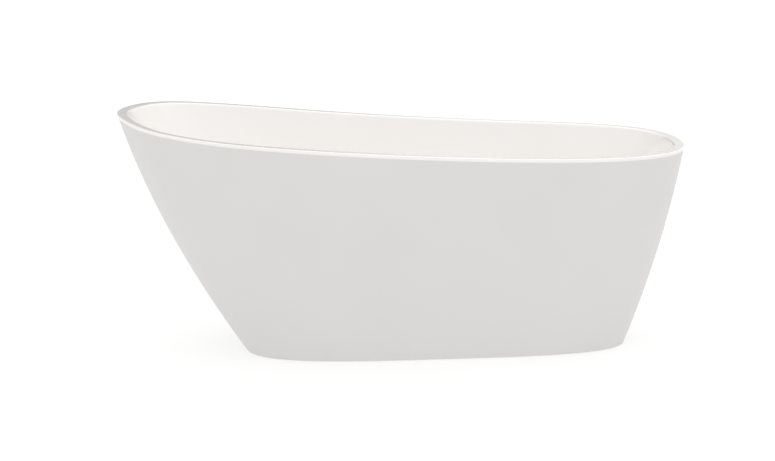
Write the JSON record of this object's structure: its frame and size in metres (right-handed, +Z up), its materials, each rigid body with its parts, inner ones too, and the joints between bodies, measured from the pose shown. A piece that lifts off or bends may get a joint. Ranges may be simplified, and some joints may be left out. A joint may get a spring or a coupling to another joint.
{
  "type": "freestanding bathtub",
  "caption": "Freestanding single-ended slipper bathtub: thin swept rim, seamless tapered shell, hidden frame on levelling legs, click-clack drain and overflow.",
  "frame": {"origin": "on the floor, under the middle of the bounding box", "axes": "+Z up, +X along the tub from the raised head end to the lower drain end, +Y to the bather's left"},
  "size_m": [1.6984, 0.7964, 0.7195],
  "materials": {
    "acrylic_shell": "gloss white",
    "laminate": "rough glass-fibre laminate",
    "adhesive": "cured adhesive",
    "board": "moisture-proof board",
    "zinc_steel": "zinc-plated",
    "frame_paint": "powder coat",
    "chrome": "polished",
    "black_plastic": "moulded",
    "white_plastic": "moulded",
    "rubber": "matt",
    "brass": "turned",
    "spring_steel": "bright"
  },
  "bodies": {
    "tub": {"inner_shell": "acrylic_shell", "outer_shell": "acrylic_shell", "rim_bond": "adhesive", "basin_backing": "laminate", "floor_board": "board", "rail_left": "frame_paint", "rail_right": "frame_paint", "crossbar_head": "frame_paint", "crossbar_middle": "frame_paint", "crossbar_drain": "frame_paint", "rail_end_caps": "black_plastic", "crossbar_end_caps": "black_plastic", "frame_bolts": "zinc_steel", "rivet_nuts": "zinc_steel", "board_screws": "zinc_steel", "skirt_brackets": "zinc_steel", "bracket_bolts": "zinc_steel", "bracket_pads": "rubber", "leg_nuts": "zinc_steel", "leg_locknuts": "zinc_steel", "drain_flange": "chrome", "drain_gasket_upper": "rubber", "drain_gasket_lower": "rubber", "drain_locknut": "white_plastic", "drain_body": "white_plastic", "stopper_cartridge": "brass", "stopper_spring": "spring_steel", "overflow_cover": "chrome", "overflow_flange": "chrome", "overflow_gasket": "rubber", "overflow_body": "white_plastic", "overflow_pipe": "white_plastic", "overflow_pipe_clamp": "zinc_steel", "overflow_inlet_nut": "white_plastic"},
    "stopper": {"stopper_cap": "chrome", "stopper_seal": "rubber", "stopper_plunger": "brass"},
    "leg_pad_head_left": {"leg_pad_head_left": "black_plastic"},
    "leg_stud_head_left": {"leg_stud_head_left": "zinc_steel"},
    "leg_pad_head_right": {"leg_pad_head_right": "black_plastic"},
    "leg_stud_head_right": {"leg_stud_head_right": "zinc_steel"},
    "leg_pad_middle": {"leg_pad_middle": "black_plastic"},
    "leg_stud_middle": {"leg_stud_middle": "zinc_steel"},
    "leg_pad_drain_left": {"leg_pad_drain_left": "black_plastic"},
    "leg_stud_drain_left": {"leg_stud_drain_left": "zinc_steel"},
    "leg_pad_drain_right": {"leg_pad_drain_right": "black_plastic"},
    "leg_stud_drain_right": {"leg_stud_drain_right": "zinc_steel"}
  },
  "joints": [
    {"name": "stopper_lift", "type": "slide", "parent": "tub", "child": "stopper", "axis": [0, 0, 1], "range_m": [-0.0012, 0.009], "deforming": ["stopper_spring"]},
    {"name": "leg_height_head_left", "type": "slide", "parent": "tub", "child": "leg_pad_head_left", "axis": [0, 0, -1], "range_m": [-0.008, 0.01]},
    {"name": "leg_screw_head_left", "type": "hinge", "parent": "leg_pad_head_left", "child": "leg_stud_head_left", "pos_m": [-0.33, 0.118, 0.05], "axis": [0, 0, 1], "range_deg": [-1700, 2100]},
    {"name": "leg_height_head_right", "type": "slide", "parent": "tub", "child": "leg_pad_head_right", "axis": [0, 0, -1], "range_m": [-0.008, 0.01]},
    {"name": "leg_screw_head_right", "type": "hinge", "parent": "leg_pad_head_right", "child": "leg_stud_head_right", "pos_m": [-0.33, -0.118, 0.05], "axis": [0, 0, 1], "range_deg": [-1700, 2100]},
    {"name": "leg_height_middle", "type": "slide", "parent": "tub", "child": "leg_pad_middle", "axis": [0, 0, -1], "range_m": [-0.008, 0.01]},
    {"name": "leg_screw_middle", "type": "hinge", "parent": "leg_pad_middle", "child": "leg_stud_middle", "pos_m": [0.06, 0, 0.05], "axis": [0, 0, 1], "range_deg": [-1700, 2100]},
    {"name": "leg_height_drain_left", "type": "slide", "parent": "tub", "child": "leg_pad_drain_left", "axis": [0, 0, -1], "range_m": [-0.008, 0.01]},
    {"name": "leg_screw_drain_left", "type": "hinge", "parent": "leg_pad_drain_left", "child": "leg_stud_drain_left", "pos_m": [0.552, 0.095, 0.05], "axis": [0, 0, 1], "range_deg": [-1700, 2100]},
    {"name": "leg_height_drain_right", "type": "slide", "parent": "tub", "child": "leg_pad_drain_right", "axis": [0, 0, -1], "range_m": [-0.008, 0.01]},
    {"name": "leg_screw_drain_right", "type": "hinge", "parent": "leg_pad_drain_right", "child": "leg_stud_drain_right", "pos_m": [0.552, -0.095, 0.05], "axis": [0, 0, 1], "range_deg": [-1700, 2100]}
  ],
  "couplings": [
    {"joint": "leg_screw_head_left", "follows": "leg_height_head_left", "rad_per_m": 3590.4},
    {"joint": "leg_screw_head_right", "follows": "leg_height_head_right", "rad_per_m": 3590.4},
    {"joint": "leg_screw_middle", "follows": "leg_height_middle", "rad_per_m": 3590.4},
    {"joint": "leg_screw_drain_left", "follows": "leg_height_drain_left", "rad_per_m": 3590.4},
    {"joint": "leg_screw_drain_right", "follows": "leg_height_drain_right", "rad_per_m": 3590.4}
  ]
}
